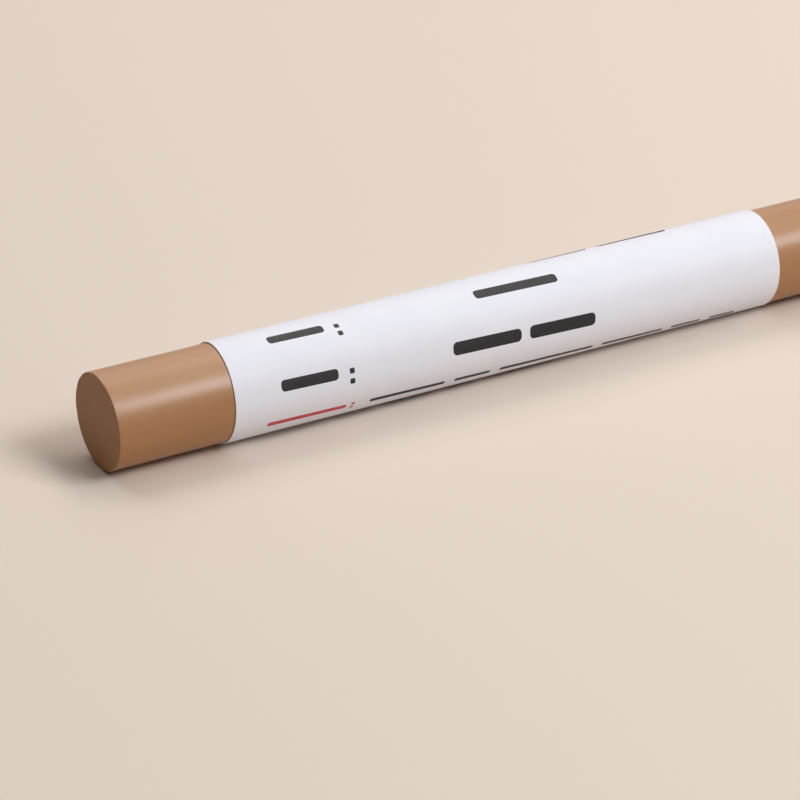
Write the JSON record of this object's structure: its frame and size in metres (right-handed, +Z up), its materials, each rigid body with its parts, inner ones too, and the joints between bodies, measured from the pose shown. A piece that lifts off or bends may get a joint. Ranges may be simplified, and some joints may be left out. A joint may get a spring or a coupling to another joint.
{
  "type": "furniture repair wax stick",
  "caption": "Round stick of brown hard wax with a white paper label rolled round it, rubbed or melted into scratches in furniture and floors to fill them.",
  "frame": {"origin": "on the surface that the stick lies on, under the middle of its length", "axes": "+X along the stick from the near end to the far end, +Y to the back, +Z up"},
  "size_m": [0.095, 0.0112, 0.0112],
  "materials": {
    "brown_wax": "satin",
    "label_glue": "gloss",
    "label_paper": "matte",
    "black_ink": "matte",
    "red_ink": "matte"
  },
  "bodies": {
    "root": {"wax_stick": "brown_wax", "label_adhesive": "label_glue", "paper_label": "label_paper"}
  },
  "joints": []
}
